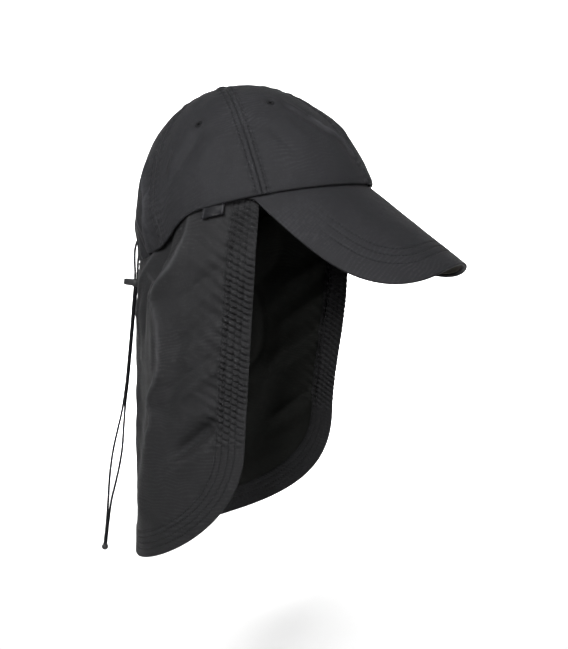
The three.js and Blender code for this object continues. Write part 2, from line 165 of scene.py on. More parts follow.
class Finish:
    """A new material whose nodes are added one by one. Plain numbers go on the shader's own sockets."""

    def __init__(self, name, **sockets):
        self.material = bpy.data.materials.new(name)
        self.material.use_nodes = True
        self.nodes = self.material.node_tree.nodes
        self.links = self.material.node_tree.links
        self.shader = self.nodes["Principled BSDF"]
        for socket, number in sockets.items():
            self.shader.inputs[socket.replace("_", " ")].default_value = number

    def add(self, kind, inputs=None, **settings):
        """A node of that kind. An input is a number, a tuple, or the output of another node."""
        node = self.nodes.new("ShaderNode" + kind)
        for setting, value in settings.items():
            setattr(node, setting, value)
        for socket, value in (inputs or {}).items():
            if isinstance(value, bpy.types.NodeSocket):
                self.links.new(value, node.inputs[socket])
            else:
                node.inputs[socket].default_value = value
        return node.outputs

    def sum_of(self, operation, first, second):
        return self.add("Math", {0: first, 1: second}, operation=operation)[0]

    def noise(self, place, scale, detail=2.0, roughness=0.5):
        given = {"Vector": place, "Scale": scale, "Detail": detail, "Roughness": roughness}
        return self.add("TexNoise", given)["Fac"]

    def stretched(self, place, scale, turn=0.0):
        return self.add("Mapping", {"Vector": place, "Scale": scale, "Rotation": (0, 0, turn)})[0]

    def between(self, share, low, high, low_share=0.3, high_share=0.7):
        given = {0: share, 1: low_share, 2: high_share, 3: low, 4: high}
        return self.add("MapRange", given)[0]

    def bump(self, height, depth, below=None):
        """A bump of that depth in millimetres, laid over the bump below it."""
        given = {"Height": height, "Distance": depth * millimetre, "Strength": 1.0}
        if below is not None:
            given["Normal"] = below
        return self.add("Bump", given)[0]

    def give(self, socket, output):
        self.links.new(output, self.shader.inputs[socket])


# Braid: crossing diagonal yarns in black, dull, a shade greyer on their crowns
elastic = Finish("braided elastic", Roughness=0.75, Sheen_Weight=0.03, Sheen_Roughness=0.5,
                 Specular_IOR_Level=0.08)
elastic_cloth = elastic.add("TexCoord")["UV"]
elastic_right = elastic.add("TexWave", {"Vector": elastic.stretched(elastic_cloth, (1, 1, 1), 0.72),
                                        "Scale": 38.0, "Distortion": 0.4})["Fac"]
elastic_left = elastic.add("TexWave", {"Vector": elastic.stretched(elastic_cloth, (1, 1, 1), -0.72),
                                       "Scale": 38.0, "Distortion": 0.4})["Fac"]
elastic_height = elastic.sum_of("MULTIPLY", elastic_right, elastic_left)
elastic.give("Base Color", elastic.add("MixRGB", {
    "Fac": elastic_height, "Color1": (0.004, 0.004, 0.005, 1), "Color2": (0.02, 0.02, 0.022, 1)})[0])
elastic.give("Normal", elastic.bump(elastic_height, 0.16))

for strand_name, strand_side in (("cord_strand_right", -1), ("cord_strand_left", 1)):
    strand_back, strand_up, strand_aside, strand_apart = cord_route.T
    strand_points = np.stack(
        [strand_side * strand_aside, strand_back - strand_side * strand_apart, strand_up], -1)
    strand_line, strand_steps = evenly_along(strand_points, 0.42)
    strand_angle = np.linspace(0, 2 * np.pi, 20, endpoint=False)[None, :]
    strand_wave = 2 * np.pi * strand_steps[:, None] / braid_pitch
    strand_crossing = (np.cos(braid_strands * strand_angle + strand_wave)
                       * np.cos(braid_strands * strand_angle - strand_wave))
    strand_radius = cord_diameter / 2 * (1 - braid_relief + braid_relief * strand_crossing)
    strand_cloth = np.stack(np.broadcast_arrays(
        cord_diameter / 2 * strand_angle, strand_steps[:, None]), -1)
    strand = closed_form(
        strand_name + "_braid", tube(strand_line, strand_radius, 20), strand_cloth)
    strand.data.materials.append(elastic.material)
    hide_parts(strand_name)

# Stopper: a short moulded bar with rounded ends and edges. Both strands run through bores near its
# front end, each with a raised collar, and friction holds it in place.
stopper_length = 16
stopper_width = 8.4
stopper_height = 5.5
stopper_edge = 1.3
stopper_place = np.array([0, 113.4, -57.0])
stopper_lean = math.atan2(115.2 - 112.8, -47.0 + 72.0)

plastic = Finish("moulded plastic", Roughness=0.42, Specular_IOR_Level=0.25)
plastic_place = plastic.add("TexCoord")["Object"]
plastic_grain = plastic.noise(plastic_place, 2600.0, 3.0)
plastic.give("Base Color", plastic.add("MixRGB", {
    "Fac": plastic.noise(plastic_place, 240.0), "Color1": (0.011, 0.011, 0.012, 1),
    "Color2": (0.02, 0.02, 0.021, 1)})[0])
plastic.give("Roughness", plastic.between(plastic_grain, 0.34, 0.52))
plastic.give("Normal", plastic.bump(plastic_grain, 0.02))


def leaned(points, lean, place):
    """Points turned about the X axis by the cord's lean and moved to their place on it."""
    x, y, z = np.moveaxis(points, -1, 0)
    return np.stack([x, y * np.cos(lean) - z * np.sin(lean), y * np.sin(lean) + z * np.cos(lean)],
                    -1) + place


def stadium(inset, height, around=48):
    """A round-ended outline, narrower all round by the inset, at that height: half circles about
    two centres on the Y axis, starting at the front end."""
    angle = -np.pi / 2 + 2 * np.pi * np.arange(around) / around
    radius = stopper_width / 2 - np.asarray(inset)[:, None]
    far = np.where(np.sin(angle) > 0, stopper_length - stopper_width, 0)
    return np.stack(np.broadcast_arrays(
        radius * np.cos(angle), far + radius * np.sin(angle), np.asarray(height)[:, None]), -1)


edge_angle = np.linspace(-np.pi / 2, np.pi / 2, 14)
edge_height = np.sign(np.sin(edge_angle)) * (stopper_height / 2 - stopper_edge) + (
    stopper_edge * np.sin(edge_angle))
edge_inset = stopper_edge * (1 - np.cos(edge_angle))
stopper_rows = np.concatenate([[stopper_width / 2 - 0.4, 3.0], edge_inset, [3.0, stopper_width / 2 - 0.4]])
stopper_levels = np.concatenate([
    [-stopper_height / 2 - 0.15, -stopper_height / 2 - 0.05], edge_height,
    [stopper_height / 2 + 0.05, stopper_height / 2 + 0.15]])
stopper = closed_form(
    "cord_stopper_bar", leaned(stadium(stopper_rows, stopper_levels), stopper_lean, stopper_place))
stopper.data.materials.append(plastic.material)
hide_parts("cord_stopper")


def ring_of(centre, radius, thickness, around=32, section=10):
    """A ring with a round section, lying level about its centre: a circle carried round a circle."""
    turn = np.linspace(0, 2 * np.pi, around, endpoint=False)[:, None]
    angle = np.linspace(0, 2 * np.pi, section, endpoint=False)[None, :]
    reach = radius + thickness * np.cos(angle)
    return np.asarray(centre, float) + np.stack(np.broadcast_arrays(
        reach * np.cos(turn), reach * np.sin(turn), thickness * np.sin(angle)), -1)


collar_rings = np.stack([
    ring_of((side * 1.9, 0, level * stopper_height / 2), 1.35, 0.38)
    for side in (-1, 1) for level in (-1, 1)])
collars = closed_form(
    "cord_stopper_collars", leaned(collar_rings, stopper_lean, stopper_place), joined=True)
collars.data.materials.append(plastic.material)

# End bead: a moulded ball with a short neck, in which both ends of the cord are glued
bead_radius = 2.9
bead_neck = 1.9
cord_end = np.array([0, 149.8, -292.0])
cord_end_lean = math.atan2(149.8 - 147.0, 20.0)
bead_drop = 0.3 + math.sqrt(bead_radius ** 2 - 1.6 ** 2)
bead_angle = np.linspace(0.04, np.pi - 0.72, 22)
bead_profile = np.concatenate([
    np.stack([bead_radius * np.sin(bead_angle), -bead_radius * np.cos(bead_angle)], -1),
    [(bead_neck, 2.35), (bead_neck + 0.05, 3.0), (bead_neck - 0.25, 3.35), (0.4, 3.4), (0.02, 3.4)]])
bead_turn = np.linspace(0, 2 * np.pi, 32, endpoint=False)
bead_rings = np.stack([
    bead_profile[:, :1] * np.cos(bead_turn), bead_profile[:, :1] * np.sin(bead_turn),
    np.repeat(bead_profile[:, 1:], 32, 1) - bead_drop], -1)
bead = closed_form("cord_end_ball", leaned(bead_rings, cord_end_lean, cord_end))
bead.data.materials.append(plastic.material)
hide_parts("cord_end_bead")

# Studio: a pale seamless sweep, with soft boxes above and to both sides. It is no part of the cap.
bpy.context.scene.view_settings.view_transform = "Standard"
sweep_floor = -0.46
sweep_radius = 3.0
sweep_bend = 0.8
sweep_height = 3.2
sweep_turn = np.linspace(0, 2 * np.pi, 96, endpoint=False)[None, :]
bend_angle = np.linspace(0, np.pi / 2, 16)
sweep_reach = np.concatenate([
    [0.01, 0.5, 1.2], sweep_radius - sweep_bend + sweep_bend * np.sin(bend_angle), [sweep_radius]])
sweep_level = np.concatenate([
    [0, 0, 0], sweep_bend * (1 - np.cos(bend_angle)), [sweep_height]]) + sweep_floor
sweep_points = np.stack(np.broadcast_arrays(
    sweep_reach[:, None] * np.cos(sweep_turn), sweep_reach[:, None] * np.sin(sweep_turn),
    sweep_level[:, None]), -1)
sweep_number = np.arange(sweep_points.size // 3).reshape(sweep_points.shape[:2])
sweep_quads = np.stack([
    sweep_number[:-1], np.roll(sweep_number, -1, 1)[:-1], np.roll(sweep_number, -1, 1)[1:],
    sweep_number[1:]], -1).reshape(-1, 4)
sweep_mesh = bpy.data.meshes.new("sweep")
sweep_mesh.from_pydata(sweep_points.reshape(-1, 3).tolist(), [], [
    *sweep_quads.tolist(), sweep_number[0][::-1].tolist()])
sweep_mesh.polygons.foreach_set("use_smooth", np.ones(len(sweep_mesh.polygons), bool))
sweep = bpy.data.objects.new("sweep", sweep_mesh)
bpy.context.scene.collection.objects.link(sweep)
paper = Finish("studio paper", Roughness=0.9, Specular_IOR_Level=0.1)
paper.shader.inputs["Base Color"].default_value = (0.8, 0.8, 0.8, 1)
sweep_mesh.materials.append(paper.material)

studio_air = bpy.data.worlds.new("studio air")
studio_air.use_nodes = True
studio_air.node_tree.nodes["Background"].inputs["Color"].default_value = (1, 1, 1, 1)
studio_air.node_tree.nodes["Background"].inputs["Strength"].default_value = 0.26
bpy.context.scene.world = studio_air


def soft_box(name, place, size, power, aim=(0, 0, -0.05), beam=180):
    """A square area light at that place, turned towards the cap, with its beam's angle in degrees."""
    light = bpy.data.lights.new(name, "AREA")
    light.shape = "SQUARE"
    light.size = size
    light.energy = power
    light.spread = math.radians(beam)
    holder = bpy.data.objects.new(name, light)
    holder.location = place
    holder.rotation_euler = (Vector(aim) - Vector(place)).to_track_quat("-Z", "Y").to_euler()
    bpy.context.scene.collection.objects.link(holder)


soft_box("soft_box_key", (-1.2, -0.16, 0.66), 0.55, 5.3, (-0.05, -0.02, 0.03), 62)
soft_box("soft_box_front", (-1.0, -1.3, 0.1), 0.5, 1.5, (0.05, 0, -0.14), 60)
soft_box("sweep_light_wall", (1.0, 0.45, 0.8), 1.2, 40, (3, 1.4, 0.3), 120)
soft_box("sweep_light_floor", (1.3, 0.6, 1.6), 1.2, 60, (1.7, 0.8, -0.46), 80)

# Crown: six panels of fine plain-woven microfibre. Each is seamed to the next, its seam allowances are
# turned back and topstitched on both sides, and the lower edge is turned in to a soft hem.
rim_half_width = 83
rim_half_length = 100
rim_lift = 4.9
crown_height = 104.5
crown_fullness = 1.82
crown_set_back = 3.1
crown_tilt = math.radians(14.1)
seam_turns = np.radians([0, 62.4, 120, 180, 240, 297.6, 360])
panel_seam = 2 * math.pi / 6
seam_dip = 1.3
hem_height = 11
back_drop = 15
back_pull = 7
back_pull_height = 26
drop_end = math.radians(88)
gather_depth = 3
gather_height = 48
gather_pitch = math.radians(24)
gather_reach = math.radians(62)
hem_thickness = 2.4
panel_thickness = 0.8
top_rise = math.acos(2.6 / 83)
topstitch_place = 3.7
stitch_pitch = 2.9
eyelet_places = [(math.radians(side * turn % 360), height)
                 for side in (1, -1) for turn, height in ((38.5, 73), (87.5, 68), (150, 70))]


def smooth(value, low, high):
    """0 below low and 1 above high, with an even S between them."""
    share = np.clip((value - low) / (high - low), 0, 1)
    return share * share * (3 - 2 * share)


def stacked(x, y, z):
    return np.stack(np.broadcast_arrays(x, y, z), -1)


def tilted(points):
    """Points turned about the X axis, so that the crown leans back."""
    x, y, z = np.moveaxis(points, -1, 0)
    return stacked(x, y * math.cos(crown_tilt) + z * math.sin(crown_tilt),
                   z * math.cos(crown_tilt) - y * math.sin(crown_tilt))


def crown_point(turn, rise, inset):
    """The crown as a dome on an oval rim. The turn goes round from the front centre by the wearer's
    right, the rise from 0 at the rim to a quarter turn at the top. The height is a power of the
    rise's sine, the reach its cosine; the back of the rim hangs lower and is drawn in."""
    height = np.sin(rise) ** (2 / crown_fullness)
    from_back = np.abs(turn - np.pi)
    drop = back_drop * (1 - smooth(from_back, drop_end * 0.62, drop_end)) * (1 - height) ** 2
    pull = back_pull * (1 - smooth(from_back, drop_end / 2, drop_end))
    pulled = inset + pull * (1 - smooth(height * crown_height, 0, back_pull_height))
    reach = np.cos(rise)
    return tilted(stacked(
        -(rim_half_width - pulled) * reach * np.sin(turn),
        -(rim_half_length - pulled) * reach * np.cos(turn) + crown_set_back * height,
        (crown_height - inset) * height + rim_lift * np.sin(turn) ** 2 * (1 - height) - drop))


def rise_at(height):
    return np.arcsin(np.clip(height / crown_height, 0, 1) ** (crown_fullness / 2))


def crumple(points, size, seed, waves=9):
    """Smooth random relief from -1 to 1: plane waves of about one size in random directions, added."""
    chance = np.random.default_rng(seed)
    direction = unit(chance.normal(size=(waves, 3)))
    pace = 2 * np.pi / (size * chance.uniform(0.7, 1.5, waves))
    phase = chance.uniform(0, 2 * np.pi, waves)
    return np.sin(points @ (direction * pace[:, None]).T + phase).sum(-1) / np.sqrt(waves * 2)


# Folds that show on the crown: from one place to another, each as turn in degrees and height, with
# depth (negative for a valley) and breadth
crown_folds = np.array([
    (84, 64, 101, 32, -2.2, 5.0), (92, 68, 112, 26, 1.4, 6.0), (100, 36, 118, 14, -1.8, 4.6),
    (76, 58, 92, 22, 1.4, 5.0), (104, 62, 110, 28, -1.6, 4.0), (70, 42, 84, 10, -1.2, 5.0),
    (136, 62, 125, 26, 3.2, 3.2), (124, 38, 129, 9, 3.2, 3.0), (127, 22, 138, -4, 3.4, 3.0),
    (150, 54, 152, 2, -2.6, 8.0), (29, 74, 20, 52, 1.4, 3.2), (21, 57, 13, 40, 2.6, 2.2),
    (15.5, 46, 4.5, 32, 2.6, 2.2), (8, 38, 1, 18, 2.0, 2.6),
    (32, 70, 14, 38, -1.3, 4.5), (42, 66, 30, 30, 0.9, 6.0), (52, 60, 40, 22, -0.8, 5.0),
    (205, 60, 200, 10, 1.6, 3.6), (222, 50, 214, 10, -1.6, 4.2), (262, 80, 248, 30, -1.1, 3.6),
    (275, 66, 262, 34, 1.3, 3.6), (335, 80, 324, 52, 1.2, 3.0), (346, 60, 356, 34, 1.5, 2.8),
])


def fold_relief(place, folds):
    """Ridges and valleys along straight lines. Each falls off to both sides of its line as a bell and
    towards its ends as a sine, and all of them are added. Gives the relief, and the painted highlight
    that lightens the colour on its crests."""
    start, stop = folds[:, 0:2], folds[:, 2:4]
    run = stop - start
    share = ((place[..., None, :] - start) * run).sum(-1) / (run ** 2).sum(-1)
    aside = np.linalg.norm(
        place[..., None, :] - start - np.clip(share, 0, 1)[..., None] * run, axis=-1)
    strength = np.sin(np.pi * np.clip(share, 0, 1)) ** 0.7
    relief = (folds[:, 4] * strength * np.exp(-(aside / folds[:, 5]) ** 2)).sum(-1)
    # Painted highlight along the crests of the sharper ridges, which lightens the cloth's colour.
    sharp = 0.7 * (folds[:, 4] > 1.45) * np.minimum(folds[:, 4] / 3, 1)
    return relief, (sharp * strength * np.exp(-(aside / 1.3) ** 2)).sum(-1)


def crown_flat(turn, height):
    """A place on the crown laid flat: the turn times the mean radius, and the height."""
    return np.stack(np.broadcast_arrays(turn * 91.5, height), -1)


fold_scale = np.array([math.radians(1) * 91.5, 1, math.radians(1) * 91.5, 1, 1, 1])


def crown_relief(turn, rise):
    """How far the cloth stands out from the dome, from its seams, hem, pleats and folds."""
    turn, rise = np.broadcast_arrays(turn, rise)
    reach = np.cos(rise)
    height = crown_height * np.sin(rise) ** (2 / crown_fullness)
    girth = np.hypot(rim_half_width * np.sin(turn), rim_half_length * np.cos(turn)) * reach
    panels = np.interp(turn, seam_turns, np.arange(7))
    seam_number = np.round(panels)
    off = turn - seam_turns[seam_number.astype(int)]
    share = np.abs(panels - seam_number)
    beside = np.abs(off) * girth
    dip = seam_dip * (1 - np.sin(np.pi * share)) ** 2 * np.sqrt(np.abs(np.sin(2 * rise)))
    near_top = 1 - smooth(height, crown_height * 0.93, crown_height)
    band = 0.75 * (1 - smooth(beside, topstitch_place + 0.3, topstitch_place + 2.2))
    groove = 0.95 * np.exp(-(beside / 0.5) ** 2)
    row = 0.75 * np.exp(-((beside - topstitch_place) / 0.55) ** 2)
    pucker_wave = np.sin(2 * np.pi * height / 5.2 + 1.7 * np.sin(height / 9 + seam_number)
                         + seam_number * 2.1 + np.sign(off) * 0.8)
    pucker = 0.42 * pucker_wave * np.exp(-((beside - 4.2) / 3.0) ** 2)
    from_back = np.abs(turn - np.pi)
    pleat = 0.5 + 0.5 * np.cos(2 * np.pi * from_back / gather_pitch)
    gather = gather_depth * pleat * (1 - smooth(from_back, gather_reach / 2, gather_reach))
    gather = gather * (1 - smooth(height, 0, gather_height))
    small_pitch = math.radians(7.3)
    small = np.cos(2 * np.pi * from_back / small_pitch + 1.2 * np.sin(turn * 9) + height / 14)
    small = 0.9 * small * (1 - smooth(from_back, 0.5, 1.15)) * (1 - smooth(height, 4, 30))
    creased, crest_highlight = fold_relief(crown_flat(turn, height), crown_folds * fold_scale)
    dome = crown_point(turn, rise, 0)
    soft = 0.55 * crumple(dome, 46, 3) * (1 - smooth(height, 60, 95))
    soft = soft + 0.28 * crumple(dome * np.array([1, 1, 0.6]), 17, 8)
    roll = 0.7 * np.exp(-((height - 3.5) / 4.5) ** 2)
    roll = roll + 2.4 * np.exp(-((height - 20) / 17) ** 2) * (1 - smooth(from_back, 0.5, 1.1))
    roll = roll + 4.5 * (1 - smooth(height, 0, 18)) * (1 - smooth(from_back, 0.4, 0.72))
    for eyelet_turn, eyelet_height in eyelet_places:
        away = np.hypot((turn - eyelet_turn) * girth, 1.15 * (height - eyelet_height))
        roll = roll - 1.1 * np.exp(-(away / 3.4) ** 2) + 0.35 * np.exp(-((away - 6.5) / 2.5) ** 2)
    return (gather + small - dip + (band - groove - row + pucker) * near_top
            + creased + soft * near_top + roll)


def crown_cloth(turn, rise, inset=0.0):
    """The outer face of the crown's cloth, or a place that far inside it."""
    return crown_point(turn, rise, inset - crown_relief(turn, rise))


meridian_rise = np.linspace(0, top_rise, 600)
meridian_points = crown_point(np.pi / 2, meridian_rise, 0)
meridian_length = np.concatenate(
    [[0], np.cumsum(np.linalg.norm(np.diff(meridian_points, axis=0), axis=1))])


def woven_cloth(name, colour, weave=0.55, gloss=0.7, crease=0.25):
    """Fine plain weave. Two sets of threads cross as a product of sines; slubs are noise drawn out
    along each set; the dye and gloss vary softly, and a faint watered pattern follows the weave."""
    cloth = Finish(name, Roughness=gloss, Sheen_Weight=0.015, Sheen_Roughness=0.4,
                   Specular_IOR_Level=0.06)
    flat = cloth.add("TexCoord")["UV"]
    place = cloth.add("TexCoord")["Object"]
    apart = cloth.add("SeparateXYZ", {0: flat})
    pace = 2 * math.pi * 100 / weave
    warp = cloth.sum_of("SINE", cloth.sum_of("MULTIPLY", apart[0], pace), 0.0)
    weft = cloth.sum_of("SINE", cloth.sum_of("MULTIPLY", apart[1], pace), 0.0)
    threads = cloth.sum_of("MULTIPLY_ADD", cloth.sum_of("MULTIPLY", warp, weft), 0.5)
    slub_warp = cloth.noise(cloth.stretched(flat, (190, 26, 1)), 1.0, 3.0, 0.65)
    slub_weft = cloth.noise(cloth.stretched(flat, (22, 200, 1)), 1.0, 3.0, 0.65)
    slubs = cloth.sum_of("ADD", slub_warp, slub_weft)
    watered = cloth.add("TexWave", {
        "Vector": cloth.stretched(flat, (1, 1, 1), 0.12), "Scale": 11.0, "Distortion": 16.0,
        "Detail": 1.0, "Detail Scale": 0.4, "Detail Roughness": 0.4}, bands_direction="Y")["Fac"]
    mottle = cloth.noise(place, 38.0, 4.0, 0.6)
    shade = cloth.sum_of("ADD", cloth.between(slubs, -0.42, 0.42, 0.7, 1.3),
                         cloth.between(mottle, -0.2, 0.2))
    patches = cloth.between(cloth.noise(place, 16.0, 1.0), 0.0, 1.0, 0.42, 0.62)
    moving = cloth.sum_of("MULTIPLY", cloth.between(watered, -0.27, 0.27, 0.0, 1.0), patches)
    shade = cloth.sum_of("ADD", shade, moving)
    # Painted highlight: the colour is lightened up to 2.6 times along the crests of sharp folds and creases,
    # as the mesh's attribute marks them.
    painted_highlight = cloth.add("Attribute", attribute_name="crest_highlight")["Fac"]
    dark = tuple(0.62 * part for part in colour)
    light = tuple(1.38 * part for part in colour)
    dyed = cloth.add("MixRGB", {"Fac": shade, "Color1": (*dark, 1), "Color2": (*light, 1)})[0]
    cloth.give("Base Color", cloth.add("MixRGB", {
        "Fac": cloth.between(painted_highlight, 0.0, 0.55, 0.0, 1.0), "Color1": dyed,
        "Color2": (*(2.6 * part for part in colour), 1)})[0])
    cloth.give("Roughness", cloth.between(mottle, gloss - 0.06, gloss + 0.08))
    crumpled = cloth.bump(cloth.noise(place, 75.0, 3.0, 0.55), crease)
    drawn = cloth.bump(slubs, 0.05, crumpled)
    cloth.give("Normal", cloth.bump(threads, 0.045, drawn))
    return cloth.material


crown_fabric = woven_cloth("crown microfibre", (0.021, 0.021, 0.023))


def seam_clustered(count):
    """Even steps from 0 to 1 that are drawn together at both ends, where the seams need detail."""
    step = np.linspace(0, 1, count)
    return step - 0.8 * np.sin(2 * np.pi * step) / (2 * np.pi)


def crown_panel(number, columns=120, rows=150):
    """One panel as a closed wall. Each column's profile climbs the outer face, comes down the inner
    face, and is closed at the lower edge by the half circle of the turned hem."""
    share = seam_clustered(columns)[:, None]
    up = np.interp(np.linspace(0, meridian_length[-1], rows), meridian_length, meridian_rise)
    down = up[::-2]
    roll_angle = np.linspace(0, np.pi, 10)[1:-1]
    roll_radius = hem_thickness / 2
    rise = np.concatenate([up, down, np.zeros(len(roll_angle))])[None, :]
    down_height = crown_height * np.sin(down) ** (2 / crown_fullness)
    wall = panel_thickness + (hem_thickness - panel_thickness) * (
        1 - smooth(down_height, hem_height - 0.6, hem_height + 0.6))
    inset = np.concatenate([np.zeros(rows), wall, roll_radius + roll_radius * np.cos(roll_angle)])
    below = np.concatenate([np.zeros(rows + len(down)), 1.25 * roll_radius * np.sin(roll_angle)])
    gap = 0.06 / (80 * np.cos(rise))
    width = seam_turns[number + 1] - seam_turns[number]
    turn = seam_turns[number] + gap + share * (width - 2 * gap)
    points = crown_cloth(turn, rise, inset[None, :]) + tilted(stacked(0, 0, -below[None, :]))
    height = crown_height * np.sin(rise) ** (2 / crown_fullness)
    # Painted highlight along the crests of the sharper folds.
    crest_highlight = fold_relief(crown_flat(turn, height), crown_folds * fold_scale)[1]
    across = (share - 0.5) * panel_seam * 91.5 * np.cos(rise)
    along = np.interp(rise, meridian_rise, meridian_length) - below[None, :]
    return points, np.stack(np.broadcast_arrays(across + 200 * number, along), -1), crest_highlight


panel_names = ("front_right", "side_right", "back_right", "back_left", "side_left", "front_left")
for panel_number, panel_name in enumerate(panel_names):
    panel_points, panel_cloth, panel_crest_highlight = crown_panel(panel_number)
    panel = closed_form(f"panel_{panel_name}", panel_points, panel_cloth, crest_highlight=panel_crest_highlight)
    panel.data.materials.append(crown_fabric)
    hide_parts(f"crown_panel_{panel_name}")

# Topstitching of the crown: black polyester thread, lockstitched through the panel and its seam
# allowance, one row on each side of every seam.
thread = Finish("sewing thread", Roughness=0.6, Sheen_Weight=0.02, Specular_IOR_Level=0.08)
thread_place = thread.add("TexCoord")["Object"]
thread_twist = thread.add("TexWave", {"Vector": thread_place, "Scale": 900.0})["Fac"]
thread.give("Base Color", thread.add("MixRGB", {
    "Fac": thread_twist, "Color1": (0.003, 0.003, 0.0035, 1), "Color2": (0.01, 0.01, 0.011, 1)})[0])
thread.give("Normal", thread.bump(thread_twist, 0.03))


def stitches(centre, ahead, out, length, width):
    """Short rounded lengths of thread, six-sided, thickest in the middle and thin at both ends where
    they go into the cloth. One for each centre, laid along ahead with its crown towards out."""
    place = np.array([-0.5, -0.36, 0, 0.36, 0.5])
    thick = np.array([0.3, 0.85, 1.0, 0.85, 0.3]) * width / 2
    sink = np.array([-0.55, -0.1, 0.1, -0.1, -0.55]) * width
    angle = np.linspace(0, 2 * np.pi, 6, endpoint=False)
    side = np.cross(out, ahead)
    at = centre[:, None, None]
    along = place[None, :, None, None] * length * ahead[:, None, None]
    lift = (sink[:, None] + thick[:, None] * np.sin(angle))[None, ..., None] * out[:, None, None]
    wide = (thick[:, None] * np.cos(angle))[None, ..., None] * side[:, None, None]
    return at + along + lift + wide


def on_surface(surface, first, second, steps=(1e-3, 1e-3)):
    """Places on a surface, the unit direction of its second measure, and the unit normal that points
    away from the middle of the head."""
    here = surface(first, second)
    first_way = surface(first + steps[0], second) - surface(first - steps[0], second)
    second_way = surface(first, second + steps[1]) - surface(first, second - steps[1])
    normal = unit(np.cross(first_way, second_way))
    outwards = (normal * (here - np.array([0, 10, here[..., 2].mean() * 0.5]))).sum(-1) > 0
    return here, unit(second_way), np.where(outwards[..., None], normal, -normal)


topstitch_length = np.arange(3.0, meridian_length[-1] - 4, stitch_pitch)
topstitch_rise = np.interp(topstitch_length, meridian_length, meridian_rise)
topstitch_sets = []
for seam_number in range(6):
    for seam_side in (-1, 1):
        seam_girth = np.hypot(
            rim_half_width * math.sin(seam_turns[seam_number]),
            rim_half_length * math.cos(seam_turns[seam_number])) * np.cos(topstitch_rise)
        row_place = np.minimum(topstitch_place, seam_girth * panel_seam * 0.3)
        row_turn = (seam_turns[seam_number] + seam_side * row_place / seam_girth) % (2 * np.pi)
        row_points, row_ahead, row_out = on_surface(crown_cloth, row_turn, topstitch_rise)
        topstitch_sets.append(stitches(row_points + 0.12 * row_out, row_ahead, row_out, 2.2, 0.75))
topstitching = closed_form("crown_topstitching", np.concatenate(topstitch_sets))
topstitching.data.materials.append(thread.material)

# Vent eyelets: one small hole in each panel, bound all round with close satin stitches in black thread
eyelet_radius = 3.1
eyelet_hole = 1.3
eyelet_sets = []
hole_sets = []
for eyelet_turn, eyelet_height in eyelet_places:
    middle, upwards, outwards = on_surface(
        crown_cloth, np.array([eyelet_turn]), rise_at(np.array([eyelet_height])))
    sideways = np.cross(upwards, outwards)
    bar_angle = np.linspace(0, 2 * np.pi, 30, endpoint=False)[:, None]
    bar_way = np.cos(bar_angle) * sideways + np.sin(bar_angle) * upwards
    bar_centre = middle + bar_way * (eyelet_radius + eyelet_hole) / 2 + 0.72 * outwards
    eyelet_sets.append(stitches(
        bar_centre, bar_way, np.repeat(outwards, 30, 0), (eyelet_radius - eyelet_hole) * 1.35, 0.42))
    disc_turn = np.linspace(0, 2 * np.pi, 20, endpoint=False)[None, :, None]
    disc_reach = np.array([0.02, eyelet_hole, eyelet_hole, 0.02])[:, None, None]
    disc_level = np.array([-0.2, -0.2, 0.22, 0.22])[:, None, None]
    hole_sets.append(middle + disc_reach * (
        np.cos(disc_turn) * sideways + np.sin(disc_turn) * upwards) + disc_level * outwards)
eyelets = closed_form("crown_eyelets", np.concatenate(eyelet_sets))
eyelets.data.materials.append(thread.material)
shade_black = Finish("shade in a hole", Roughness=1.0, Specular_IOR_Level=0.0)
shade_black.shader.inputs["Base Color"].default_value = (0.002, 0.002, 0.002, 1)
shade_black.give("Roughness", shade_black.between(
    shade_black.noise(shade_black.add("TexCoord")["Object"], 900.0), 0.9, 1.0))
eyelet_holes = closed_form("crown_eyelet_holes", np.stack(hole_sets))
eyelet_holes.data.materials.append(shade_black.material)

# Top button: a domed metal shell covered with the crown's cloth, which is drawn in tight below it
button_radius = 5.9
button_height = 3.3
button_turn = np.linspace(0, 2 * np.pi, 72, endpoint=False)[None, :]
button_angle = np.concatenate([np.linspace(-0.35, 1.5, 26)])[:, None]
button_pucker = 1 + 0.018 * np.cos(18 * button_turn) * (1 - smooth(button_angle, 0.0, 0.9))
button_reach = button_radius * np.cos(button_angle) * button_pucker
button_level = button_height * np.sin(button_angle)
button_points = stacked(
    button_reach * np.cos(button_turn), button_reach * np.sin(button_turn), button_level)
button_seat = crown_point(0, math.pi / 2, 0.2)
button = closed_form(
    "button_cover", tilted(button_points) + button_seat,
    np.stack([button_points[..., 0], button_points[..., 1]], -1))
button.data.materials.append(crown_fabric)
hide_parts("top_button")

# Peak: the same cloth drawn over a stiff curved insert, its edge turned under and sewn to a lining.
# It is set into the front of the crown, below the hem.
peak_length = 96
peak_half_width = 75.3
peak_root = -37
peak_corner = 4.58
peak_arch = 83.2
peak_slope = math.radians(38.8)
peak_reach = math.radians(70)
peak_tuck = 7
peak_bend = 0.16
peak_stack = 2.7
tuck_inset = 3.2
tuck_clearance = 0.8
peak_origin = crown_point(0.0, 0.0, 0.0)
peak_out = np.array([0, -math.cos(peak_slope), -math.sin(peak_slope)])
peak_up = np.array([0, -math.sin(peak_slope), math.cos(peak_slope)])


def arch_drop(x):
    return peak_arch - np.sqrt(peak_arch ** 2 - x ** 2)


def peak_edge(share):
    """The peak's outline, a superellipse in polar form: across and out from the rim."""
    angle = share * np.pi / 2
    across = np.abs(np.sin(angle)) / peak_half_width
    out = np.abs(np.cos(angle)) / (peak_length - peak_root)
    radius = (across ** peak_corner + out ** peak_corner) ** (-1 / peak_corner)
    return radius * np.sin(angle), peak_root + radius * np.cos(angle)


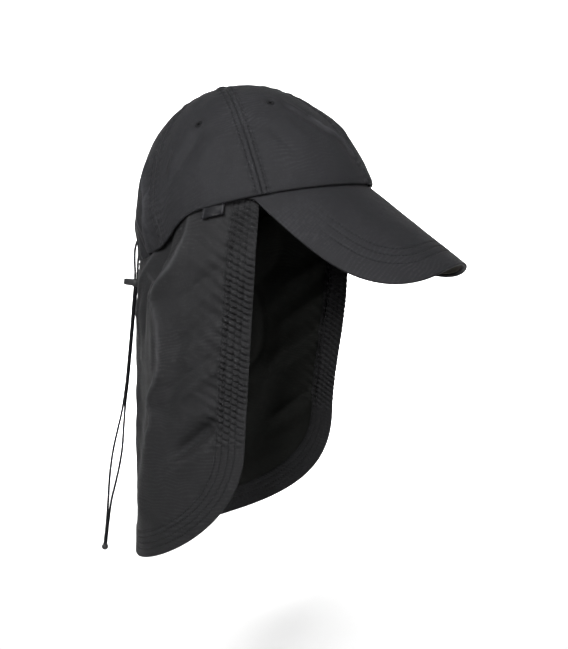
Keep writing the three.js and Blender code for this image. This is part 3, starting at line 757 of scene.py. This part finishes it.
def peak_point(share, along, depth):
    """A point of the peak. Along runs from -1 to 0 up in the tuck and from 0 at the rim to 1 at the
    edge, on straight lines between the rim's curve and the outline, laid over an arch. The depth
    lies under the upper face, square to the crown at the rim and to the arch further out."""
    share, along, depth = np.broadcast_arrays(share, along, depth)
    turn = -share * peak_reach
    wall = unit(crown_point(turn, 0.0, 0.0) - crown_point(turn, 0.0, 1.0))
    tucked = crown_point(turn, rise_at(np.maximum(-along, 0) * peak_tuck), tuck_inset)
    local = crown_point(turn, 0.0, tuck_inset) + tilted(np.array([0, 0, -tuck_clearance])) - peak_origin
    edge_x, edge_out = peak_edge(share)
    reach = np.maximum(along, 0)
    x = local[..., 0] + (edge_x - local[..., 0]) * reach
    out = (local @ peak_out) + (edge_out - local @ peak_out) * reach
    lifted = (local @ peak_up + arch_drop(local[..., 0])) * (1 - reach)
    drop = arch_drop(x)
    arch_normal = unit((peak_arch - drop)[..., None] * peak_up + x[..., None] * np.array([1.0, 0, 0]))
    mixed = np.clip(reach / peak_bend, 0, 1)[..., None]
    normal = unit(wall * (1 - mixed) + arch_normal * mixed)
    plate = (peak_origin + x[..., None] * np.array([1.0, 0, 0]) + out[..., None] * peak_out
             + (lifted - drop)[..., None] * peak_up)
    return np.where((along < 0)[..., None], tucked - depth[..., None] * wall,
                    plate - depth[..., None] * normal)


# Rows of stitching on the peak, as half width and reach of smaller outlines like its own
peak_rows = ((58.5, 69.5), (62.5, 75.5), (67.0, 81.5))


def peak_scale(place, half_width, length):
    """How large the outline with that half width and reach would have to be drawn to run through a
    place on the peak: 1 on the outline itself, less inside it."""
    local = place - peak_origin
    across = np.abs(local[..., 0]) / half_width
    out = np.maximum(local @ peak_out - peak_root, 0) / (length - peak_root)
    return (across ** peak_corner + out ** peak_corner) ** (1 / peak_corner)


def peak_relief(share, along):
    """Low relief of the upper cloth: it sinks along the rows of stitching, less towards the temples,
    and is a little uneven all over."""
    place = peak_point(share, along, 0.0)
    rows = sum(np.exp(-((peak_scale(place, *row) - 1) * row[1] / 0.6) ** 2) for row in peak_rows)
    rows = rows * (1 - 0.85 * smooth(np.abs(share), 0.42, 0.6))
    return -0.5 * rows + 0.22 * crumple(place, 30, 21) + 0.05 * crumple(place, 7, 22)


peak_share = np.sin(np.linspace(-1, 1, 170) * np.pi / 2 * 0.98) / math.sin(np.pi / 2 * 0.98)
peak_share = (0.35 * peak_share + 0.65 * np.linspace(-1, 1, 170))[:, None]
peak_along = np.concatenate([[-1, -0.6, -0.3], np.linspace(0, 1, 150) ** 0.7])[None, :]
upper_depth = -peak_relief(peak_share, np.maximum(peak_along, 0)) * (peak_along > 0)
upper_face = peak_point(peak_share, peak_along, upper_depth)
upper_back = peak_point(peak_share, peak_along[:, ::-3], 1.25 + 0 * peak_share)
edge_line = peak_point(peak_share, np.ones((1, 1)), 0.0)
edge_outwards = unit(edge_line - peak_point(peak_share, np.full((1, 1), 0.985), 0.0))
edge_normal = unit(edge_line - peak_point(peak_share, np.ones((1, 1)), 1.0))
turned_angle = np.linspace(0, np.pi, 9)[None, :, None]
turned_radius = peak_stack / 2
turned_edge = edge_line + turned_radius * (
    edge_outwards * np.sin(turned_angle) * 0.7 + edge_normal * (np.cos(turned_angle) - 1))
turned_back = edge_line[:, :1] - peak_stack * edge_normal - edge_outwards * np.array(
    [1.2, 2.4])[None, :, None] + edge_normal * np.array([0.0, 0.25])[None, :, None]
upper_rings = np.concatenate([upper_face[:, :-1], turned_edge, turned_back, upper_back[:, 1:]], 1)
if upper_rings.shape[1] % 2:
    upper_rings = np.concatenate([upper_rings, (upper_rings[:, -1:] + upper_rings[:, :1]) / 2], 1)
peak_fabric = woven_cloth("peak microfibre", (0.02, 0.02, 0.022), crease=0.08)
peak_flat = stacked(upper_rings[..., 0], -(upper_rings - peak_origin) @ -peak_out, 0)[..., :2]
peak_upper = closed_form("peak_cover", upper_rings, peak_flat)
peak_upper.data.materials.append(peak_fabric)
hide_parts("peak_upper")

lining_along = np.concatenate([[-1, -0.5], np.linspace(0, 0.968, 60)])[None, :]
lining_under = peak_point(
    peak_share, lining_along, peak_stack - 0.15 * crumple(peak_point(peak_share, lining_along, 0), 24, 31))
lining_over = peak_point(peak_share, lining_along[:, ::-2], 1.5 + 0 * peak_share)
lining_rings = np.concatenate([lining_under, lining_over], 1)
if lining_rings.shape[1] % 2:
    lining_rings = np.concatenate([lining_rings, (lining_rings[:, -1:] + lining_rings[:, :1]) / 2], 1)
lining_fabric = woven_cloth("peak lining", (0.024, 0.021, 0.015), weave=0.7, gloss=0.8, crease=0.1)
peak_lining = closed_form("peak_lining", lining_rings, stacked(
    lining_rings[..., 0], -(lining_rings - peak_origin) @ -peak_out, 0)[..., :2])
peak_lining.data.materials.append(lining_fabric)
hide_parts("peak_under")

# The peak's stitching: the rows run parallel to the edge and fade out towards the temples
peak_stitch_sets = []
fine_share = np.linspace(-0.93, 0.93, 400)
fine_reach = np.linspace(0, 1, 1500)
fine_places = peak_point(fine_share[:, None], fine_reach[None, :], 0.0)
for row in peak_rows:
    fine_along = (peak_scale(fine_places, *row) < 1).mean(-1)
    fine_along = np.convolve(np.pad(fine_along, 3, "edge"), np.full(7, 1 / 7), "valid")
    fine_line = peak_point(fine_share, fine_along, -peak_relief(fine_share, fine_along))
    fine_length = np.concatenate([[0], np.cumsum(np.linalg.norm(np.diff(fine_line, axis=0), axis=1))])
    row_steps = np.arange(1.5, fine_length[-1], stitch_pitch)
    row_share = np.interp(row_steps, fine_length, fine_share)
    row_along = np.interp(row_steps, fine_length, fine_along)
    row_centre = peak_point(row_share, row_along, -peak_relief(row_share, row_along))
    row_normal = unit(row_centre - peak_point(row_share, row_along, 3.0))
    row_ahead = unit(np.gradient(row_centre, axis=0))
    row_sunk = 0.12 - 0.6 * smooth(np.abs(row_share), 0.42, 0.6)[:, None]
    peak_stitch_sets.append(stitches(
        row_centre + row_sunk * row_normal, row_ahead, row_normal, 2.2, 0.65))
    row_below = peak_point(row_share, row_along, peak_stack + 0.05)
    peak_stitch_sets.append(stitches(row_below, row_ahead, -row_normal, 2.2, 0.5))
peak_stitching = closed_form("peak_stitching", np.concatenate(peak_stitch_sets))
peak_stitching.data.materials.append(thread.material)

# Neck flap: one light sheet of the same cloth, caught under the crown's hem from temple to temple round
# the back. It hangs free, and drag folds run from where the drawcord gathers the crown.
flap_half_width = 90.8
flap_half_length = 101.5
flap_drop = 281
flap_fall = 46
flap_tuck = 8
flap_front = math.radians(63.2)
flap_front_lean = math.radians(0.039)
corner_start = 171
corner_end = math.radians(161)
hem_width = 22
pucker_pitch = 4.6
pucker_depth = 1.5
fold_depth = 8
fold_breadth = 16
hem_overlap = 4
flap_thickness = 0.8
flap_radius = (flap_half_width + flap_half_length) / 2
# Folds: upper end and lower end as the share of the way from a front edge to the centre back and the
# share of the drop, then depth, breadth and the side (1 right, -1 left, 0 both)
flap_folds = np.array([
    (.745, -.3, .745, 1.3, -.33, 1.6, 0), (.59, .06, .62, .80, -.5, 1.4, 1),
    (.27, .02, .42, .23, .50, .55, 1), (.42, .17, .43, .52, .60, .70, 1),
    (.46, .46, .60, .90, .40, .90, 1), (.12, .16, .34, .31, -.40, .80, 1),
    (.08, .31, .33, .46, .40, .80, 1), (.17, .53, .34, .66, -.60, .80, 1),
    (.28, .03, .45, .30, .50, .70, -1), (.18, .28, .40, .52, -.50, .90, -1),
    (.30, .48, .55, .85, .55, 1.0, -1),
])


def across_at(turn):
    return (np.pi - turn) * flap_radius


def turn_at(across):
    return np.pi - across / flap_radius


def flap_inset(across):
    """The flap lies inside the crown's hem, and further in where it passes inside the peak's ends."""
    overlap = 1 - smooth(turn_at(np.abs(across)), peak_reach * 1.03, peak_reach * 1.25)
    return tuck_inset + (peak_stack + tuck_clearance) * overlap


def flap_fold_offset(across, down):
    """The large folds: each is a bell across its line and a softened sine along it."""
    half_width = across_at(flap_front)
    total = np.zeros(np.broadcast(across, down).shape)
    for around, start, to_around, stop, depth, breadth, side in flap_folds:
        share = (down / flap_drop - start) / (stop - start)
        middle = (1 - (around + (to_around - around) * share)) * half_width
        bell = np.exp(-((np.abs(across) - middle) / (breadth * fold_breadth)) ** 2)
        along = np.sin(np.pi * np.clip(share, 0, 1)) ** 0.7
        here = 1.0 if side == 0 else (across * side > 0)
        total = total + depth * fold_depth * bell * along * here
    return total


def rim_down(across):
    return -crown_point(turn_at(across), 0.0, flap_inset(across))[..., 2]


def flap_top(across):
    return rim_down(across) - flap_tuck * math.cos(crown_tilt)


def flap_point(across, down):
    """The flap from its flat pattern: across from the centre back, down from the origin's height.
    Above the rim it follows the inside of the crown, below it widens smoothly to a larger oval,
    and the folds move it in or out."""
    across, down = np.broadcast_arrays(across, down)
    turn = turn_at(across)
    inset = flap_inset(across)
    rim = crown_point(turn, 0.0, inset)
    below = rim[..., 2] + down
    tucked = crown_point(turn, rise_at(np.maximum(-below, 0) / math.cos(crown_tilt)), inset)
    at_back = 1 - smooth(np.abs(turn - np.pi), 0.45, 1.0)
    slow = smooth(below, 0, flap_fall)
    quick = 1 - (1 - np.clip((below - 1.7) / (0.09 * flap_fall), 0, 1)) ** 2
    flare = (slow + (quick - slow) * at_back)[..., None]
    hanging = np.concatenate([rim[..., :2], -down[..., None]], -1)
    ring = stacked(-flap_half_width * np.sin(turn), -flap_half_length * np.cos(turn), -down)
    outwards = stacked(-np.sin(turn), -np.cos(turn), 0.0)
    hanging = hanging * (1 - flare) + ring * flare + outwards * flare * (
        flap_fold_offset(across, down)[..., None])
    waist = 2.1 * (1 - smooth(down, 66, 80)) + 1.6 * (1 - smooth(down, 42, 50)) - 0.6 * smooth(down, 84, 110)
    hanging = hanging - outwards * (waist * at_back * flare[..., 0])[..., None]
    forwards = 7.7 * smooth(-across, 110, 190) * (1 - smooth(down, 60, 165)) * flare[..., 0]
    hanging = hanging + stacked(0.0, -forwards, 2.6 * smooth(down, 190, flap_drop))
    return np.where((below < 0)[..., None], tucked, hanging)


def front_across(down):
    """Where the front edge lies in the flat pattern, at that height."""
    return across_at(flap_front + flap_front_lean * np.clip(down, 0, corner_start))


hem_rows = np.array([1.6, 7.0, 11.5, 16.5, 20.5])


def flap_relief(across, down):
    """Fine relief of the flap: the gathers of its hem, the furrows of the stitching, short wrinkles
    that run off the hem, and a soft crumple all over."""
    inwards = front_across(down) - np.abs(across)
    below = down - flap_top(across) - flap_tuck
    strength = smooth(below, 2, 14) * (1 - smooth(down, 150, 188)) * np.where(across > 0, 1.0, 0.95)
    band = np.clip(np.searchsorted(hem_rows, inwards) - 1, 0, 3)
    lower, upper = hem_rows[band], hem_rows[np.clip(band + 1, 0, 4)]
    swell = np.sin(np.pi * np.clip((inwards - lower) / (upper - lower), 0, 1))
    slant = down + 0.35 * inwards + 0.8 * np.sin(down / 11 + np.sign(across))
    wave = 2 * np.abs(np.cos(np.pi * slant / pucker_pitch + 0.6 * band)) - 1.2
    uneven = 1 + 0.45 * np.sin(down / 6.7 + 1.3 * band + np.sign(across)) * np.sin(down / 17 + 2 * band)
    in_hem = (0.4 + 0.6 * smooth(inwards, 0, 3)) * (1 - smooth(inwards, hem_width - 1, hem_width + 2))
    gathers = strength * pucker_depth * in_hem * (
        1.05 * wave * uneven * (0.4 + 0.6 * swell) + 0.4 * swell)
    past = np.maximum(inwards - hem_width + 2, 0)
    runs = np.sin(2 * np.pi * (slant + 0.3 * past) / (2.15 * pucker_pitch) + 2 * np.sin(down / 23))
    runs = 1.2 * strength * runs * np.exp(-past / 11) * smooth(inwards, hem_width - 7, hem_width + 3)
    place = stacked(across, down, 3.0 * np.sign(across))
    soft = 0.8 * crumple(place * np.array([1, 0.6, 1]), 52, 41) + 0.3 * crumple(place, 19, 42)
    soft = soft * smooth(below, 0, 22) * smooth(inwards, 4, 34)
    return gathers + runs + soft + crease_relief(across, down)[0]


# Creases pressed into the flap, as places on its flat pattern that each runs through: height, breadth
# to both sides, then across and down in turn. They are given on the wearer's right.
flap_creases = (
    (3.4, 5.0, ((138, 0), (136, 23), (128, 41), (114, 55), (110, 66))),
    (2.6, 4.0, ((85, 12), (78, 34), (66, 50), (62, 70), (64, 100))),
    (-3.2, 8.0, ((112, 6), (106, 26), (94, 46), (86, 66), (84, 100))),
    (3.4, 3.0, ((77, 46), (102, 57), (113, 70), (118, 97), (115, 123), (101, 145), (106, 156), (97, 176))),
    (-2.2, 7.0, ((130, 74), (134, 100), (131, 126), (119, 150), (115, 176))),
    (-3.4, 6.0, ((182, 30), (158, 46), (136, 62))),
    (4.2, 8.0, ((182, 44), (151, 66), (126, 86))),
    (-3.6, 6.0, ((180, 60), (150, 82), (130, 100))),
    (3.0, 7.0, ((180, 72), (156, 92), (130, 112))),
    (-5.4, 7.0, ((186, 84), (158, 107), (126, 130))),
    (5.4, 8.0, ((184, 100), (150, 124), (124, 146))),
    (-6.0, 5.0, ((166, 152), (145, 168), (126, 184))),
    (4.4, 8.0, ((172, 158), (146, 181), (122, 198))),
    (0.7, 5.0, ((60, 110), (56, 150), (60, 190), (70, 236))),
    (-1.2, 6.0, ((36, 60), (34, 110), (40, 170))),
    (1.4, 5.0, ((14, 50), (18, 110), (22, 180), (20, 240))),
)


def crease_relief(across, down):
    """Creases as ridges along smooth lines: the distance to the nearest stretch of the line goes through
    a narrow bell with long skirts, and the height fades towards both ends of the line. Gives the
    relief, and the painted highlight that lightens the colour on the crests of the sharp ones."""
    across, down = np.broadcast_arrays(across, down)
    total = np.zeros(across.shape)
    crest_highlight = np.zeros(across.shape)
    for height, breadth, line in flap_creases:
        line = evenly_along(np.array([(*place, 0.0) for place in line]), 8.0)[0][:, :2]
        runs = np.diff(line, axis=0)
        length = np.linalg.norm(runs, axis=1)
        start = np.concatenate([[0], np.cumsum(length)])
        apart = np.stack([np.abs(across), down], -1)[..., None, :] - line[:-1]
        share = np.clip((apart * runs).sum(-1) / length ** 2, 0, 1)
        distance = np.linalg.norm(apart - share[..., None] * runs, axis=-1)
        nearest = distance.argmin(-1)
        away = np.take_along_axis(distance, nearest[..., None], -1)[..., 0]
        at = (start[:-1] + share * length)
        at = np.take_along_axis(at, nearest[..., None], -1)[..., 0] / start[-1]
        fade = np.sin(np.pi * np.clip(0.04 + 0.92 * at, 0, 1)) ** 0.6
        mirrored = np.where(across > 0, 1.0, 0.75) * (
            0.15 + 0.85 * smooth(front_across(down) - np.abs(across), 19, 26))
        total = total + mirrored * height * fade / (1 + (away / breadth) ** 2) ** 1.5
        # Painted highlight along the crests of the narrow ridges.
        if height > 0 and breadth < 6:
            crest_highlight = crest_highlight + mirrored * fade * min(height / 3, 1) * np.exp(-(away / 1.2) ** 2)
    return total, crest_highlight


def flap_face(across, down, distance):
    """A place on the flap moved outwards along the cloth's normal."""
    down_way = flap_point(across, down + 1) - flap_point(across, down - 1)
    across_way = flap_point(across + 1, down) - flap_point(across - 1, down)
    normal = unit(np.cross(down_way, across_way))
    return flap_point(across, down) + normal * (distance + flap_relief(across, down))[..., None]


def hem_place(station, inwards, side):
    """A place of the hem in the flat pattern. The station runs from 0 to 1 down the front edge, to 2
    round the corner and to 3 along the bottom to the centre back; inwards is measured from the
    edge."""
    front = across_at(flap_front + flap_front_lean * corner_start * np.minimum(station, 1)) - inwards
    angle = np.clip(station - 1, 0, 1) * np.pi / 2
    corner = across_at(corner_end)
    turned = (corner + (front - corner) * np.cos(angle)) * np.minimum(3 - station, 1)
    foot = corner_start + (flap_drop - inwards - corner_start) * np.sin(angle)
    top = flap_top(front)
    across = np.where(station <= 1, front, turned)
    down = np.where(station <= 1, top + (corner_start - top) * np.minimum(station, 1), foot)
    return across * side, down


flap_fabric = woven_cloth("flap microfibre", (0.019, 0.019, 0.02), crease=0.2)
# The flap's inner face is the same cloth, given a colour about half as bright as painted shade.
flap_inside_shade = woven_cloth("flap microfibre inside, painted shade", (0.0105, 0.011, 0.01), crease=0.2)
corner_steps = np.concatenate([np.linspace(1, 2, 15), np.linspace(2, 3, 4)[1:]])
flap_way = np.linspace(0, 34, 205)
flap_number = np.minimum(flap_way, 34 - flap_way)
flap_side = np.where(flap_way <= 17, 1.0, -1.0)
foot_station = np.interp(flap_number, np.arange(18), corner_steps)
foot_across, foot_down = hem_place(foot_station, hem_width - hem_overlap, flap_side)
top_across = np.linspace(1, -1, 205) * hem_place(np.zeros(1), hem_width - hem_overlap, 1.0)[0]
top_down = flap_top(top_across)
row_share = np.linspace(0, 1, 300)[None, :]
body_across = top_across[:, None] + (foot_across - top_across)[:, None] * row_share
body_down = top_down[:, None] + (foot_down - top_down)[:, None] * row_share
body_inwards = np.minimum(front_across(body_down) - np.abs(body_across), flap_drop - body_down)
body_under = 1 - smooth(body_inwards, hem_width - 1.5, hem_width)
body_outer = flap_face(body_across, body_down, -0.1 - 0.5 * body_under)
body_inner = flap_face(
    body_across[:, ::-2], body_down[:, ::-2], -flap_thickness - 0.3 * body_under[:, ::-2])
body_rings = np.concatenate([body_outer, body_inner], 1)
body_cloth = np.concatenate([
    np.stack([body_across, body_down], -1), np.stack([body_across, body_down], -1)[:, ::-2]], 1)
# Painted highlight on the crests of the outer face's sharp creases; none on the inner face.
body_crest_highlight = crease_relief(body_across, body_down)[1]
body_crest_highlight = np.concatenate([body_crest_highlight, 0 * body_crest_highlight[:, ::-2]], 1)
if body_rings.shape[1] % 2:
    body_rings = np.concatenate([body_rings, (body_rings[:, -1:] + body_rings[:, :1]) / 2], 1)
    body_cloth = np.concatenate([body_cloth, body_cloth[:, :1]], 1)
    body_crest_highlight = np.concatenate([body_crest_highlight, body_crest_highlight[:, :1]], 1)
flap_body = closed_form(
    "flap_sheet", body_rings, body_cloth, crest_highlight=body_crest_highlight,
    lined=np.arange(body_rings.shape[1]) >= row_share.size)
flap_body.data.materials.append(flap_fabric)
flap_body.data.materials.append(flap_inside_shade)
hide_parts("neck_flap")

# The flap's hem: its edge folded over twice to a 22 mm band, closed with four rows of stitching and
# gathered on an elastic along both front edges
half_stations = np.concatenate([
    np.linspace(0, 1, 390), np.linspace(1, 2, 70)[1:], np.linspace(2, 3, 80)[1:]])
hem_stations = np.concatenate([half_stations, half_stations[-2::-1]])[:, None]
hem_side = np.where(np.arange(len(hem_stations)) < len(half_stations), 1.0, -1.0)[:, None]
outer_inwards = np.linspace(hem_width, 0.9, 56)
edge_turn = np.linspace(np.pi / 2, -np.pi / 2, 9)[1:-1]
inner_inwards = np.linspace(0.9, hem_width, 17)
hem_wall = 1.7
hem_inwards = np.concatenate([outer_inwards, 0.9 - 0.9 * np.cos(edge_turn), inner_inwards])[None, :]
hem_depth = np.concatenate([
    np.where(outer_inwards > hem_width - 0.6, 0.0, 0.35),
    hem_wall / 2 * (np.sin(edge_turn) - 1) + 0.35, np.full(len(inner_inwards), 0.35 - hem_wall)])
hem_across, hem_down = hem_place(hem_stations, hem_inwards, hem_side)
furrows = sum(np.exp(-((hem_inwards - row) / 0.5) ** 2) for row in hem_rows[1:])
outer_side = (np.arange(hem_inwards.shape[1]) < len(outer_inwards) + 4)[None, :]
hem_distance = hem_depth[None, :] + np.where(outer_side, -0.5, 0.4) * furrows
hem_rings = flap_face(hem_across, hem_down, hem_distance)
hem_cloth = np.stack([hem_across, hem_down], -1)
if hem_rings.shape[1] % 2:
    hem_rings = np.concatenate([hem_rings, (hem_rings[:, -1:] + hem_rings[:, :1]) / 2], 1)
    hem_cloth = np.concatenate([hem_cloth, hem_cloth[:, :1]], 1)
hem = closed_form("flap_hem_band", hem_rings, hem_cloth)
hem.data.materials.append(flap_fabric)
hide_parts("flap_hem")

hem_stitch_sets = []
row_station = np.concatenate([
    np.linspace(0.04, 1, 700), np.linspace(1, 2, 200)[1:], np.linspace(2, 3, 400)[1:]])
for row in hem_rows[1:]:
    for row_side in (1.0, -1.0):
        row_across, row_down = hem_place(row_station, row, row_side)
        row_line = flap_face(row_across, row_down, 0.12)
        row_length = np.concatenate([[0], np.cumsum(np.linalg.norm(np.diff(row_line, axis=0), axis=1))])
        row_steps = np.arange(1.0, row_length[-1], stitch_pitch)
        at_across = np.interp(row_steps, row_length, row_across)
        at_down = np.interp(row_steps, row_length, row_down)
        for row_depth, row_face in ((0.14, 1.0), (0.35 - hem_wall + 0.1, -1.0)):
            row_centre = flap_face(at_across, at_down, row_depth)
            row_out = unit(flap_face(at_across, at_down, row_depth + 1) - row_centre) * row_face
            row_ahead = unit(np.gradient(row_centre, axis=0))
            hem_stitch_sets.append(stitches(row_centre, row_ahead, row_out, 2.1, 0.55))
hem_stitching = closed_form("hem_stitching", np.concatenate(hem_stitch_sets))
hem_stitching.data.materials.append(thread.material)

# Side label: a short loop of glossy woven tape, folded double and sewn in under the crown's hem on the
# wearer's right. It is left bare but for the plain woven lines along its two ends.
label_width = 16
label_length = 10
label_place = math.radians(84.5)
label_sheet = 0.55
label_middle = across_at(label_place)
label_across = np.linspace(label_middle - label_width / 2, label_middle + label_width / 2, 40)[:, None]
label_down = np.linspace(-1.5, label_length - 0.8, 16)
label_bend = np.linspace(np.pi / 2, -np.pi / 2, 9)[1:-1]
label_lengths = np.concatenate([
    label_down, label_length - 0.8 + 0.8 * np.cos(label_bend), label_down[::-1],
    label_down, label_length - 1.3 + 0.3 * np.cos(label_bend), label_down[::-1]])
label_heights = np.concatenate([
    np.full(16, 1.9), 1.25 + 0.65 * np.sin(label_bend), np.full(16, 0.6)])
label_profile_down = np.concatenate([
    label_down, label_length - 0.8 + 0.8 * np.cos(label_bend), label_down[::-1]])[None, :]
label_swell = 1.9 * smooth(label_profile_down, -1.5, label_length)
label_curl = 0.5 * ((label_across - label_middle) / (label_width / 2)) ** 4
label_height = label_heights[None, :] + np.where(label_heights > 1.2, 1, 0.75)[None, :] * (
    label_swell + label_curl)
label_rings = flap_face(
    np.broadcast_to(label_across, (40, label_heights.size)),
    rim_down(label_across) + label_profile_down, label_height)
label_flat = np.stack(np.broadcast_arrays(label_across - label_middle, label_profile_down), -1)
if label_rings.shape[1] % 2:
    label_rings = np.concatenate([label_rings, (label_rings[:, -1:] + label_rings[:, :1]) / 2], 1)
    label_flat = np.concatenate([label_flat, label_flat[:, :1]], 1)
label = closed_form("label_loop", label_rings, label_flat)
label_tape = Finish("woven tape", Roughness=0.38, Sheen_Weight=0.02, Specular_IOR_Level=0.12)
label_uv = label_tape.add("SeparateXYZ", {0: label_tape.add("TexCoord")["UV"]})
label_ribs = label_tape.sum_of("SINE", label_tape.sum_of("MULTIPLY", label_uv[1], 1400.0), 0.0)
label_end = label_tape.sum_of("ABSOLUTE", label_uv[0], 0.0)
label_line = label_tape.sum_of("COMPARE", label_end, 0.068)
label_line.node.inputs[2].default_value = 0.0035
label_tape.give("Base Color", label_tape.add("MixRGB", {
    "Fac": label_line, "Color1": (0.005, 0.005, 0.006, 1), "Color2": (0.02, 0.02, 0.022, 1)})[0])
label_tape.give("Normal", label_tape.bump(label_ribs, 0.03))
label.data.materials.append(label_tape.material)
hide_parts("side_label")
